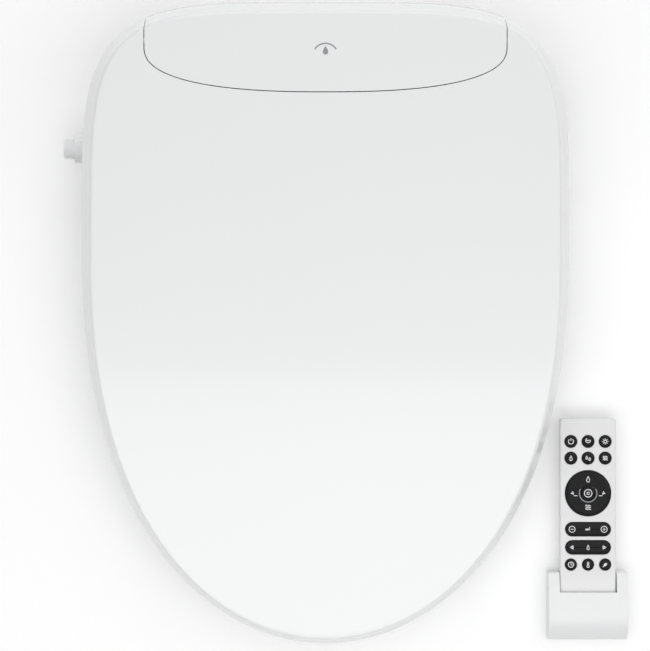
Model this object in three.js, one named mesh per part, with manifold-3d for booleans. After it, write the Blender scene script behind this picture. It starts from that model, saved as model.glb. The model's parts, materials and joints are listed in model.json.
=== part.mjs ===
// Electric bidet seat: housing with hinged seat ring and lid, washing nozzle, warm-air dryer,
// quick-release mounting plate, and a wireless remote lying in its dock beside the seat.
// Millimetres. Origin: centre of the mounting plate's underside, midway between the bolt slots.
// +X right, +Y towards the wall behind the seat, +Z up; z = 0 is the plane it all stands on.
import * as THREE from 'three';
import { mergeVertices } from 'three/addons/utils/BufferGeometryUtils.js';
import Module from 'manifold-3d';

const wasm = await Module();
wasm.setup();

// ---------------------------------------------------------------- driving dimensions
const LID = {
  halfWidth: 196, widestY: -150, frontLength: 319, rearLength: 198,
  frontPower: 2.35, rearPower: 4.5,
  deckAtWidest: 86.3, deckSlope: 0.0963, rimDepthFront: 11, rimDepthSlope: 0.037,
  draft: Math.tan(THREE.MathUtils.degToRad(20)), edge: 2, wall: 2.4,
};
const SEAM = { halfWidth: 143.3, startY: 9.7, depth: 35.7, power: 2.5, halfGap: 0.7 };
const HINGE = { y: 15, z: 93, pin: 2.6, bore: 2.95, armIn: 146.8, armOut: 150.4, armRadius: 5 };
const OPENING = { y: -240, halfWidth: 108, halfLength: 145, power: 2.3 };
const SEAT = { bottom: 12, inset: 3, wall: 3, split: 20, notchY: -106, notchZ: 58.5, sideEndY: -14 };
const HOUSING = {
  halfWidth: 176, rearLength: 195, power: 5, frontY: -96, wall: 3,
  bottom: 7, split: 40, shelf: 56, shoulder: 64, shoulderY: -12,
};
const PLATE = { halfWidth: 100, flange: 106, frontY: -46, rearY: 34, thickness: 6.4 };
const BOLT = { x: 70, slotHalf: 6, slotReach: 17, travel: 10 };
const NOZZLE = { radius: 7, length: 112, portZ: 27, tilt: THREE.MathUtils.degToRad(10) };
const WHEEL_RADIUS = 8;
const INLET = { y: -66, z: 24, boss: 14, tube: 7.4, bossEnd: -205.5, tubeEnd: -214.5 };
const GLAND = { x: 100, z: 24 };
const FILTER = { y: -30, z: 24, width: 34, height: 14, depth: 46, face: 176.2 };
const BUTTON = { y: 18, z: 24, radius: 7, back: 137, face: 162 };
const INFRARED = { y: -40, z: 49, radius: 3.65, back: 171, face: 174.8 };
const DAMPER = { radius: 5, from: 84, to: 136 };
const SEAT_PADS = { rear: [152, -170], front: [92, -400], half: [11, 17] };
const LID_PADS = { x: 96, y: -396, height: 4.6 };
const DUCT = { x: -34, halfWidth: 18.5, low: 19, high: 39.5, wall: 2.5, rearY: -40 };
const BLOWER = { x: -46, y: -10, radius: 26, wall: 3, low: 13, high: 38, inlet: 12, blades: 10 };
const HEATER = { x: -118, y: -27, halfWidth: 30, halfLength: 25, low: 12, high: 37 };
const PUMP = { x: -114, z: 25, radius: 11, from: 9, to: 34 };
const VALVE = { x: -143, radius: 11, coil: 8, from: -158, to: -128, top: 38 };
const BOARD = { low: [48, -72, 13], high: [112, -4, 14.6] };
const SUPPLY = { x: 90, y: 14, halfWidth: 30, halfLength: 13, low: 12.5, high: 36 };
const REMOTE = {
  x: 216, top: -287, width: 46, length: 168, back: 9, split: 15, face: 21, corner: 2.4, wall: 1.6,
};
const KEY = { radius: 5.1, lowRadius: 4.8, pitch: 14.1, proud: 1, foot: 17.2, gap: 0.4 };
const KEY_ROWS = { first: 19.1, second: 32.8, pad: 61.7, minus: 91.3, arrows: 106.2, last: 120.4 };
const CELL = { drop: 106, cover: 13, radius: 10 };
const PAD = { radius: 18.8, hole: 6, stop: 5.5 };
const BAR = { halfLength: 18.6, halfWidth: 5.7 };
const DOCK = {
  halfWidth: 32.5, y: -414, length: 56, back: 7, lip: -430, bulge: 27, pocketY: -455.5, screwX: 14,
};
const GAP = 0.35;   // play between pieces that touch on the real object
const SIDES = 64;   // points round the large outlines

// ---------------------------------------------------------------- materials
const plastic = (color, roughness = 0.35) =>
  new THREE.MeshStandardMaterial({ color, roughness, metalness: 0 });
const metal = (color, roughness = 0.35) =>
  new THREE.MeshStandardMaterial({ color, roughness, metalness: 1 });
const MATERIAL = {
  lid: plastic(0xf4f5f6, 0.2), seat: plastic(0xf4f5f6, 0.28), housing: plastic(0xeff0f1, 0.35),
  inner: plastic(0xd9dadb, 0.5), dark: plastic(0x2a2c2e, 0.5), rubber: plastic(0xc9cacc, 0.8),
  key: plastic(0x0c0c0d, 0.3), board: plastic(0x1f6b3a, 0.6), foil: metal(0xc9c9c9, 0.4),
  steel: metal(0xb9bcc0, 0.3), lens: plastic(0x35373c, 0.15), filter: plastic(0x3b3f45, 0.7),
};

// ---------------------------------------------------------------- solids
function toSolid(geometry) {
  const bare = geometry.clone();
  bare.deleteAttribute('normal');
  bare.deleteAttribute('uv');
  const merged = mergeVertices(bare, 1e-4);
  return new wasm.Manifold(new wasm.Mesh({
    numProp: 3,
    vertProperties: new Float32Array(merged.attributes.position.array),
    triVerts: new Uint32Array(merged.index.array),
  }));
}

function toGeometry(solid) {
  const { vertProperties, triVerts } = solid.getMesh();
  const geometry = new THREE.BufferGeometry();
  geometry.setAttribute('position', new THREE.BufferAttribute(vertProperties, 3));
  geometry.setIndex(new THREE.BufferAttribute(triVerts, 1));
  geometry.computeVertexNormals();
  return geometry;
}

const group = new THREE.Group();
function add(name, shape, material) {
  const geometry = shape instanceof THREE.BufferGeometry ? shape : toGeometry(shape);
  const mesh = new THREE.Mesh(geometry, material);
  mesh.name = name;
  group.add(mesh);
}

const union = (...solids) => solids.reduce((all, next) => all.add(next));
const cut = (body, ...tools) => tools.reduce((left, tool) => left.subtract(tool), body);

/** A box from its low corner to its high corner. */
function block(low, high) {
  const size = high.map((v, i) => v - low[i]);
  const geometry = new THREE.BoxGeometry(...size);
  geometry.translate(...low.map((v, i) => v + size[i] / 2));
  return toSolid(geometry);
}

/** A cylinder along an axis ('x', 'y' or 'z') between two stations, centred on the other two. */
function rod(axis, centre, radius, from, to, sides = 24, radiusTo = radius) {
  const geometry = new THREE.CylinderGeometry(radiusTo, radius, to - from, sides);
  const [a, b] = centre;
  const middle = (from + to) / 2;
  if (axis === 'z') geometry.rotateX(Math.PI / 2).translate(a, b, middle);
  if (axis === 'y') geometry.translate(a, middle, b);
  if (axis === 'x') geometry.rotateZ(-Math.PI / 2).translate(middle, a, b);
  return toSolid(geometry);
}

/** A plan outline [[x, y], ...] raised from z = low to z = high. */
function prism(outline, low, high) {
  const shape = new THREE.Shape(outline.map(([x, y]) => new THREE.Vector2(x, y)));
  const geometry = new THREE.ExtrudeGeometry(shape, { depth: high - low, bevelEnabled: false });
  return toSolid(geometry.translate(0, 0, low));
}

/** A side profile [[y, z], ...] drawn out along X. */
function sideProfile(profile, fromX, toX) {
  const shape = new THREE.Shape(profile.map(([y, z]) => new THREE.Vector2(y, z)));
  const geometry = new THREE.ExtrudeGeometry(shape, { depth: toX - fromX, bevelEnabled: false });
  const turn = new THREE.Matrix4().set(0, 0, 1, fromX, 1, 0, 0, 0, 0, 1, 0, 0, 0, 0, 0, 1);
  return toSolid(geometry.applyMatrix4(turn));
}

/** Stacked rings of points, skinned; both ends capped to their middle, or closed into a torus. */
function loft(rings, closed = false) {
  const count = rings[0].length;
  const points = rings.flat();
  const faces = [];
  const last = closed ? rings.length : rings.length - 1;
  for (let r = 0; r < last; r += 1) {
    const low = r * count;
    const high = ((r + 1) % rings.length) * count;
    for (let i = 0; i < count; i += 1) {
      const j = (i + 1) % count;
      faces.push(low + i, low + j, high + j, low + i, high + j, high + i);
    }
  }
  if (!closed) {
    const middle = ring => ring.reduce((sum, p) => sum.map((v, k) => v + p[k] / count), [0, 0, 0]);
    const top = (rings.length - 1) * count;
    const bottomHub = points.push(middle(rings[0])) - 1;
    const topHub = points.push(middle(rings[rings.length - 1])) - 1;
    for (let i = 0; i < count; i += 1) {
      const j = (i + 1) % count;
      faces.push(bottomHub, j, i, topHub, top + i, top + j);
    }
  }
  const geometry = new THREE.BufferGeometry();
  geometry.setAttribute('position', new THREE.Float32BufferAttribute(points.flat(), 3));
  geometry.setIndex(faces);
  return toSolid(geometry);
}

/** A rectangle with round corners, centred on (x, y). */
function roundedRect(x, y, halfX, halfY, radius, steps = 4) {
  const corners = [[1, 1], [-1, 1], [-1, -1], [1, -1]];
  return corners.flatMap(([sx, sy], quarter) => Array.from({ length: steps + 1 }, (_, i) => {
    const angle = (quarter + i / steps) * Math.PI / 2;
    return [
      x + sx * (halfX - radius) + radius * Math.cos(angle),
      y + sy * (halfY - radius) + radius * Math.sin(angle),
    ];
  }));
}

// ---------------------------------------------------------------- lid outline, deck and seam
const power = (value, exponent) => Math.sign(value) * Math.abs(value) ** exponent;
const deckZ = y => LID.deckAtWidest + LID.deckSlope * (y - LID.widestY);
const rimDepth = y => LID.rimDepthFront
  + LID.rimDepthSlope * (y - LID.widestY + LID.frontLength);
const rimZ = y => deckZ(y) - rimDepth(y);

/** Moves a closed counter-clockwise outline inwards by a distance, or by a distance at each y. */
function inset(outline, distance) {
  const move = typeof distance === 'function' ? distance : () => distance;
  return outline.map(([x, y], i) => {
    const [px, py] = outline[(i + outline.length - 1) % outline.length];
    const [nx, ny] = outline[(i + 1) % outline.length];
    const length = Math.hypot(nx - px, ny - py);
    return [x - ((ny - py) / length) * move(y), y + ((nx - px) / length) * move(y)];
  });
}

const turnSteps = Array.from({ length: SIDES }, (_, i) => (i / SIDES) * 2 * Math.PI);

/** The lid's rim in plan: a blunt ellipse in front, a squarer superellipse behind. */
const lidOutline = turnSteps.map(a => {
  const [c, s] = [Math.cos(a), Math.sin(a)];
  if (s < -1e-9) {
    return [LID.halfWidth * c, LID.widestY + LID.frontLength * power(s, 2 / LID.frontPower)];
  }
  const rear = 2 / LID.rearPower;
  return [LID.halfWidth * power(c, rear), LID.widestY + LID.rearLength * power(s, rear)];
});

const openingOutline = turnSteps.map(a => [
  OPENING.halfWidth * power(Math.cos(a), 2 / OPENING.power),
  OPENING.y + OPENING.halfLength * power(Math.sin(a), 2 / OPENING.power),
]);

const housingOutline = turnSteps.map(a => [
  HOUSING.halfWidth * power(Math.cos(a), 2 / HOUSING.power),
  LID.widestY + HOUSING.rearLength * power(Math.sin(a), 2 / HOUSING.power),
]);

/** The seam between lid and top cover: straight sides joined by a shallow curved front. */
function seamOutline(offset) {
  const steps = 28;
  const front = Array.from({ length: steps + 1 }, (_, i) => {
    const a = Math.PI + (i / steps) * Math.PI;
    return [
      (SEAM.halfWidth + offset) * power(Math.cos(a), 2 / SEAM.power),
      SEAM.startY + (SEAM.depth + offset) * power(Math.sin(a), 2 / SEAM.power),
    ];
  });
  const behind = 80;
  return [...front, [SEAM.halfWidth + offset, behind], [-SEAM.halfWidth - offset, behind]];
}

const seamPrism = offset => prism(seamOutline(offset), 0, 130);

const lift = (outline, height) => outline.map(([x, y]) => [x, y, height(y)]);

/** The body under the sloping deck, with its drafted skirt; `skin` shrinks it on every side. */
function deckBody(skin, bottom) {
  const drafted = (drop, ease) => lift(
    inset(lidOutline, y => skin + ease + (rimDepth(y) - drop) * LID.draft),
    y => deckZ(y) - drop,
  );
  const rim = inset(lidOutline, skin);
  return loft([
    lift(rim, () => bottom),
    lift(rim, rimZ),
    drafted(skin + LID.edge, 0),
    drafted(skin + LID.edge * 0.3, LID.edge * 0.3),
    drafted(skin, LID.edge),
  ]);
}

/** Everything above the lid's rim plane, for parting the deck body from what lies below it. */
const aboveRim = offset => sideProfile([
  [-600, rimZ(-600) + offset], [200, rimZ(200) + offset], [200, 300], [-600, 300],
], -400, 400);

// ---------------------------------------------------------------- lid
function buildLid() {
  const skirt = deckBody(0, 0).intersect(aboveRim(0));
  const hollow = deckBody(LID.wall, -5).subtract(seamPrism(SEAM.halfGap + LID.wall));
  const pinHole = rod('x', [HINGE.y, HINGE.z], HINGE.bore, -160, 160, 20);
  const shell = cut(skirt, seamPrism(SEAM.halfGap), hollow, pinHole.intersect(
    union(block([-150, -20, 60], [-140, 60, 130]), block([140, -20, 60], [150, 60, 130])),
  ));
  add('lid_shell', shell, MATERIAL.lid);
  const { x, y, height } = LID_PADS;
  const top = deckZ(y - 8) - LID.wall - GAP;
  for (const [side, sign] of [['left', -1], ['right', 1]]) {
    const pad = prism(roundedRect(sign * x, y, 9, 7, 4, 2), top - height, top);
    add(`lid_bumper_${side}`, pad, MATERIAL.rubber);
  }
}

// ---------------------------------------------------------------- seat ring
/** The ring with its crowned top; `skin` shrinks it on every side. */
function seatRing(skin) {
  const outer = distance => inset(lidOutline, SEAT.inset + distance + skin);
  const inner = distance => inset(openingOutline, -distance - skin);
  const between = share => outer(0).map(([x, y], i) => {
    const [ix, iy] = inner(0)[i];
    return [x + (ix - x) * share, y + (iy - y) * share];
  });
  const floor = () => SEAT.bottom + skin;
  const crown = offset => y => rimZ(y) + offset - skin;
  return loft([
    lift(outer(2), floor),
    lift(outer(0), () => SEAT.bottom + 3 + skin * 0.4),
    lift(outer(0), crown(-1.6)),
    lift(outer(4.5), crown(0.9)),
    lift(outer(14), crown(2.6)),
    lift(between(0.55), crown(2.2)),
    lift(inner(11), crown(-3)),
    lift(inner(3), crown(-7.5)),
    lift(inner(0), crown(-13)),
    lift(inner(0), () => SEAT.bottom + 3 + skin * 0.4),
    lift(inner(2), floor),
  ], true);
}

/** The space behind the ring that the housing and its cover fill. */
function seatNotch(grow) {
  return union(
    block([-230, SEAT.notchY - grow, -10], [230, 80, SEAT.notchZ + grow]),
    block([-230, SEAT.sideEndY - grow, -10], [230, 80, 140]),
    seamPrism(3.4 + grow),
  );
}

function hingeArm(sign) {
  const { y, z, armRadius: r, armIn, armOut } = HINGE;
  const knuckle = Array.from({ length: 9 }, (_, i) => {
    const a = -Math.PI / 2 + (i / 8) * Math.PI;
    return [y + r * Math.cos(a), z + r * Math.sin(a)];
  });
  const profile = [...knuckle, [-13, z + 2.8], [-34, rimZ(-34) + 14], [-40, rimZ(-40) - 2],
    [-16, rimZ(-16) - 2], [-13, z - r]];
  const [from, to] = sign > 0 ? [armIn, armOut] : [-armOut, -armIn];
  return sideProfile(profile, from, to)
    .subtract(rod('x', [y, z], HINGE.bore, from - 1, to + 1, 20));
}

function buildSeat() {
  const whole = cut(seatRing(0), seatNotch(0));
  const shell = cut(whole, cut(seatRing(SEAT.wall), seatNotch(SEAT.wall)));
  const step = SEAT.notchY - SEAT.wall - 1;
  const below = gap => union(
    block([-230, -600, 0], [230, step, SEAT.split + gap]),
    block([-230, step - gap, 0], [230, 80, SEAT.notchZ + SEAT.wall + 0.5 + gap]),
  );
  add('seat_upper', union(shell.subtract(below(GAP)), hingeArm(-1), hingeArm(1)), MATERIAL.seat);
  add('seat_lower', shell.intersect(below(0)), MATERIAL.seat);
  const sheet = share => openingOutline.map(([x, y], i) => {
    const [ox, oy] = inset(lidOutline, 24)[i];
    return [x + (ox - x) * share, y + (oy - y) * share];
  });
  const under = offset => y => rimZ(y) + offset;
  const heater = loft([
    lift(sheet(0.4), under(-8.5)), lift(sheet(1), under(-5.4)),
    lift(sheet(1), under(-4.7)), lift(sheet(0.4), under(-7.8)),
  ], true).intersect(block([-200, -480, 0], [200, SEAT.notchY - 6, 100]));
  add('seat_heater', heater, MATERIAL.foil);
  for (const row of ['rear', 'front']) {
    for (const [side, sign] of [['left', -1], ['right', 1]]) {
      const [x, y] = SEAT_PADS[row];
      const pad = prism(roundedRect(sign * x, y, ...SEAT_PADS.half, 5, 2), 0, SEAT.bottom - GAP);
      add(`seat_bumper_${row}_${side}`, pad, MATERIAL.rubber);
    }
  }
}

// ---------------------------------------------------------------- housing shells
/** The housing's plan, cut straight across its front, as a solid between two heights. */
function housingBlock(skin, low, high) {
  return prism(inset(housingOutline, skin), low, high)
    .intersect(block([-300, HOUSING.frontY + skin, low - 1], [300, 100, high + 1]));
}

function buildHousing() {
  const { wall, bottom, split, shelf, shoulder, shoulderY, frontY } = HOUSING;
  const tray = housingBlock(0, bottom, split).subtract(housingBlock(wall, bottom + wall, split + 5));
  const nozzlePort = block([-10, frontY - 5, 17], [10, frontY + 6, 40]);
  const ventPort = block([DUCT.x - 16, frontY - 5, 22], [DUCT.x + 16, frontY + 6, 38]);
  const filterBay = block([160, FILTER.y - FILTER.width / 2 - 1, FILTER.z - FILTER.height / 2 - 1],
    [185, FILTER.y + FILTER.width / 2 + 1, FILTER.z + FILTER.height / 2 + 1]);
  const buttonHole = rod('x', [BUTTON.y, BUTTON.z], BUTTON.radius + 0.5, BUTTON.back - 5, 185, 20);
  const inletHole = rod('x', [INLET.y, INLET.z], 9, -185, -160, 20);
  const cordHole = rod('y', [GLAND.x, GLAND.z], 6, 20, 60, 16);
  const rail = sign => {
    const [a, b, c] = [PLATE.flange + 1, PLATE.flange + 4, PLATE.halfWidth + 1].map(v => v * sign);
    const span = (u, v, low, high) => block([Math.min(u, v), -44, low], [Math.max(u, v), 32, high]);
    return union(span(a, b, 1, bottom + 0.5), span(c, b, 1, 2.8));
  };
  add('housing_base', cut(union(tray, rail(-1), rail(1)), nozzlePort, ventPort, filterBay,
    buttonHole, inletHole, cordHole), MATERIAL.housing);

  const base = split + GAP;
  const stepped = skin => union(
    housingBlock(skin, base - (skin ? 5 : 0), shelf - skin),
    housingBlock(skin, base - (skin ? 5 : 0), shoulder - skin)
      .intersect(block([-300, shoulderY + skin, 0], [300, 100, 200])),
  );
  const coverWell = seamPrism(-SEAM.halfGap - wall).intersect(block([-118, -40, 0], [118, 31, 200]));
  const sight = [INFRARED.y, INFRARED.z];
  const irSlot = rod('x', sight, INFRARED.radius + GAP, 160, 190, 16);
  add('front_shroud', cut(stepped(0), stepped(wall), coverWell, irSlot), MATERIAL.housing);
  add('ir_window', rod('x', sight, INFRARED.radius, INFRARED.back, INFRARED.face, 16), MATERIAL.lens);

  const seat = z => union(block([-200, -60, z], [200, shoulderY, 200]),
    block([-200, shoulderY, z + shoulder - shelf], [200, 100, 200]));
  const cover = skin => deckBody(skin, shelf - 2).intersect(seamPrism(-SEAM.halfGap - skin));
  const coverHoles = rod('x', [HINGE.y, HINGE.z], HINGE.bore, -160, 160, 20);
  const shell = cut(cover(0), cover(wall), coverHoles)
    .intersect(seat(shelf + GAP)).subtract(block([-200, shoulderY - GAP, 0], [200, shoulderY, shoulder + GAP]));
  add('top_cover', shell, MATERIAL.housing);
}

// ---------------------------------------------------------------- hinges, inlet, gland, button, filter
function buildFittings() {
  for (const [side, sign] of [['left', -1], ['right', 1]]) {
    const span = (a, b) => [Math.min(sign * a, sign * b), Math.max(sign * a, sign * b)];
    const centre = [HINGE.y, HINGE.z];
    add(`hinge_damper_${side}`, union(
      rod('x', centre, DAMPER.radius, ...span(DAMPER.from, DAMPER.to), 20),
      rod('x', centre, HINGE.pin, ...span(DAMPER.to - 1, HINGE.armOut - 0.2), 20),
    ), MATERIAL.steel);
  }
  const centre = [INLET.y, INLET.z];
  const nut = rod('x', centre, INLET.boss, -HOUSING.halfWidth - 16, -HOUSING.halfWidth - GAP, 24);
  const collar = rod('x', centre, INLET.boss - 3, INLET.bossEnd, -HOUSING.halfWidth - 15, 24);
  const tube = rod('x', centre, INLET.tube, INLET.tubeEnd, -160, 20);
  const ridges = [0, 1, 2].map(i => rod('x', centre, INLET.tube + 0.8,
    INLET.tubeEnd + 1.2 + i * 2.6, INLET.tubeEnd + 2.6 + i * 2.6, 20));
  const bore = rod('x', centre, 4.6, INLET.tubeEnd - 1, -170, 16);
  add('water_inlet', cut(union(nut, collar, tube, ...ridges), bore), MATERIAL.housing);
  add('inlet_strainer', rod('x', centre, 4.1, -200, -172, 12), MATERIAL.steel);

  const exit = [GLAND.x, GLAND.z];
  const gland = union(rod('y', exit, 8, 43.8, 45.8, 16), rod('y', exit, 5.6, 31, 44.5, 16));
  add('cord_gland', gland.subtract(rod('y', exit, 3.2, 28, 52, 12)), MATERIAL.dark);

  const button = rod('x', [BUTTON.y, BUTTON.z], BUTTON.radius, BUTTON.back, BUTTON.face, 20);
  add('release_button', button, MATERIAL.inner);
  const half = FILTER.width / 2;
  add('deodorizer_filter', block(
    [FILTER.face - FILTER.depth, FILTER.y - half, FILTER.z - FILTER.height / 2],
    [FILTER.face, FILTER.y + half, FILTER.z + FILTER.height / 2],
  ), MATERIAL.filter);
}

// ---------------------------------------------------------------- mounting plate
function buildPlate() {
  const { halfWidth, flange, frontY, rearY, thickness } = PLATE;
  const slots = [-1, 1].map(sign => block(
    [sign * BOLT.x - BOLT.slotHalf, -BOLT.slotReach, -1],
    [sign * BOLT.x + BOLT.slotHalf, BOLT.slotReach, thickness + 1],
  ));
  const plate = union(
    block([-halfWidth, frontY, 0], [halfWidth, rearY, thickness]),
    block([-flange, frontY, 3.2], [flange, rearY, thickness]),
  );
  add('mount_plate', cut(plate, ...slots), MATERIAL.inner);
  for (const [side, sign] of [['left', -1], ['right', 1]]) {
    const x = sign * BOLT.x;
    const reach = BOLT.slotHalf - GAP;
    const insert = block([x - reach, -7, 0.4], [x + reach, 7, thickness - 0.2]);
    add(`bolt_insert_${side}`, insert.subtract(rod('z', [x, 0], 3.4, -1, 8, 16)), MATERIAL.steel);
  }
}

// ---------------------------------------------------------------- washing nozzle and its drive
function buildNozzle() {
  const lean = new THREE.Matrix4().makeRotationX(NOZZLE.tilt)
    .setPosition(0, HOUSING.frontY, NOZZLE.portZ);
  const tilted = solid => {
    const geometry = toGeometry(solid);
    geometry.deleteAttribute('normal');
    return toSolid(geometry.applyMatrix4(lean));
  };
  const tubeFrom = 12;
  const tube = rod('y', [0, 0], NOZZLE.radius, tubeFrom, NOZZLE.length, 20);
  add('nozzle_tube', tilted(tube.subtract(rod('y', [0, 0], 3, 20, NOZZLE.length + 1, 10))),
    MATERIAL.housing);
  const jets = [-1, 1].map(sign => rod('z', [sign * 2.4, 7], 0.8, 4, 9, 8));
  add('nozzle_tip', tilted(cut(rod('y', [0, 0], NOZZLE.radius, 1, tubeFrom - GAP, 20), ...jets)),
    MATERIAL.inner);
  const trough = block([-11, 18, -11], [11, 92, 2])
    .subtract(block([-NOZZLE.radius - 0.5, 10, -NOZZLE.radius - 0.5], [7.5, 100, 10]));
  const wheelSlot = block([4.9, 43, -20], [12, 67, 10]);
  add('nozzle_guide', tilted(trough.subtract(wheelSlot)), MATERIAL.inner);
  const axle = [NOZZLE.radius + WHEEL_RADIUS + GAP, 55];
  add('nozzle_drive_wheel', tilted(rod('z', axle, WHEEL_RADIUS, -4, 1, 24)
    .subtract(rod('z', axle, 2.2, -6, 3, 12))), MATERIAL.rubber);
  add('nozzle_motor', tilted(union(rod('z', axle, 10, -15.5, -4.6, 20), rod('z', axle, 1.8, -5, 0.6, 12))),
    MATERIAL.steel);
}

// ---------------------------------------------------------------- dryer and water system
function buildInternals() {
  const { x: ductX, halfWidth, low, high, wall, rearY } = DUCT;
  const airway = halfWidth - wall;
  const duct = block([ductX - halfWidth, HOUSING.frontY + 7, low], [ductX + halfWidth, rearY, high])
    .subtract(block([ductX - airway, HOUSING.frontY, low + wall],
      [ductX + airway, rearY + 10, high - wall]));
  add('dryer_duct', duct, MATERIAL.inner);
  const flap = block([ductX - 15, HOUSING.frontY, 23], [ductX + 15, HOUSING.frontY + 1.8, 37]);
  add('dryer_flap', flap, MATERIAL.housing);

  const blower = [BLOWER.x, BLOWER.y];
  const drum = cut(
    rod('z', blower, BLOWER.radius, BLOWER.low, BLOWER.high, 32),
    rod('z', blower, BLOWER.radius - BLOWER.wall, BLOWER.low + 2, BLOWER.high - 2, 32),
    rod('z', blower, BLOWER.inlet, BLOWER.high - 8, BLOWER.high + 2, 24),
  );
  const outlet = block([BLOWER.x - 12, BLOWER.y - 30, 22], [BLOWER.x + 12, BLOWER.y - 20, 34]);
  add('blower_housing', drum.subtract(outlet), MATERIAL.dark);
  const blades = Array.from({ length: BLOWER.blades }, (_, i) => {
    const blade = new THREE.BoxGeometry(8, 1.2, 14).rotateZ(0.5)
      .translate(16, 0, 26).rotateZ((i / BLOWER.blades) * 2 * Math.PI)
      .translate(BLOWER.x, BLOWER.y, 0);
    return toSolid(blade);
  });
  const floor = rod('z', blower, 20, 17, 19.5, 24);
  const hub = rod('z', blower, 5, 17, 30, 12);
  add('blower_impeller', union(floor, hub, ...blades), MATERIAL.inner);

  const tank = roundedRect(HEATER.x, HEATER.y, HEATER.halfWidth, HEATER.halfLength, 8, 3);
  add('water_heater', prism(tank, HEATER.low, HEATER.high), MATERIAL.inner);
  add('solenoid_valve', union(
    rod('x', [INLET.y, INLET.z], VALVE.radius, VALVE.from, VALVE.to, 16),
    rod('z', [VALVE.x, INLET.y], VALVE.coil, INLET.z, VALVE.top, 16),
  ), MATERIAL.steel);
  const pumpAxis = [PUMP.x, PUMP.z];
  add('water_pump', union(
    rod('y', pumpAxis, PUMP.radius, PUMP.from, PUMP.to, 20),
    rod('y', pumpAxis, 4, PUMP.from - 7, PUMP.from + 1, 12),
  ), MATERIAL.dark);
  add('control_board', block(BOARD.low, BOARD.high), MATERIAL.board);
  const supply = roundedRect(SUPPLY.x, SUPPLY.y, SUPPLY.halfWidth, SUPPLY.halfLength, 2, 1);
  add('power_supply', prism(supply, SUPPLY.low, SUPPLY.high), MATERIAL.steel);
}

// ---------------------------------------------------------------- wall dock for the remote
function buildDock() {
  const { halfWidth, y, length, back, lip, bulge, pocketY, screwX } = DOCK;
  const low = y - length;
  const front = Array.from({ length: 11 }, (_, i) => {
    const a = (i / 10) * Math.PI / 2;
    return [low + 22 * (1 - Math.cos(a)), bulge * 0.45 + bulge * 0.55 * Math.sin(a)];
  });
  const profile = [[low + 1.5, 0], [low, 3], ...front, [y - 12, bulge * 0.94], [y, bulge * 0.78], [y, 0]];
  const body = sideProfile(profile, REMOTE.x - halfWidth, REMOTE.x + halfWidth);
  const pocketHalf = REMOTE.width / 2 + 0.5;
  const pocket = block([REMOTE.x - pocketHalf, pocketY, REMOTE.back - 0.4],
    [REMOTE.x + pocketHalf, y + 5, REMOTE.face + 0.5]);
  const mouth = block([REMOTE.x - pocketHalf, lip, REMOTE.back - 0.4],
    [REMOTE.x + pocketHalf, y + 5, bulge + 5]);
  const screwAt = sign => [REMOTE.x + sign * screwX, y - 12];
  const holes = [-1, 1].map(sign => union(
    rod('z', screwAt(sign), 2.6, -1, back + 3, 12), rod('z', screwAt(sign), 4.6, 4, back + 3, 16),
  ));
  add('dock_shell', cut(body, pocket, mouth, ...holes), MATERIAL.housing);
  for (const [side, sign] of [['left', -1], ['right', 1]]) {
    add(`dock_screw_${side}`, union(rod('z', screwAt(sign), 2.2, 0.6, 5, 12),
      rod('z', screwAt(sign), 4.2, 4.5, back + 0.6, 16)), MATERIAL.steel);
  }
}

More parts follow.
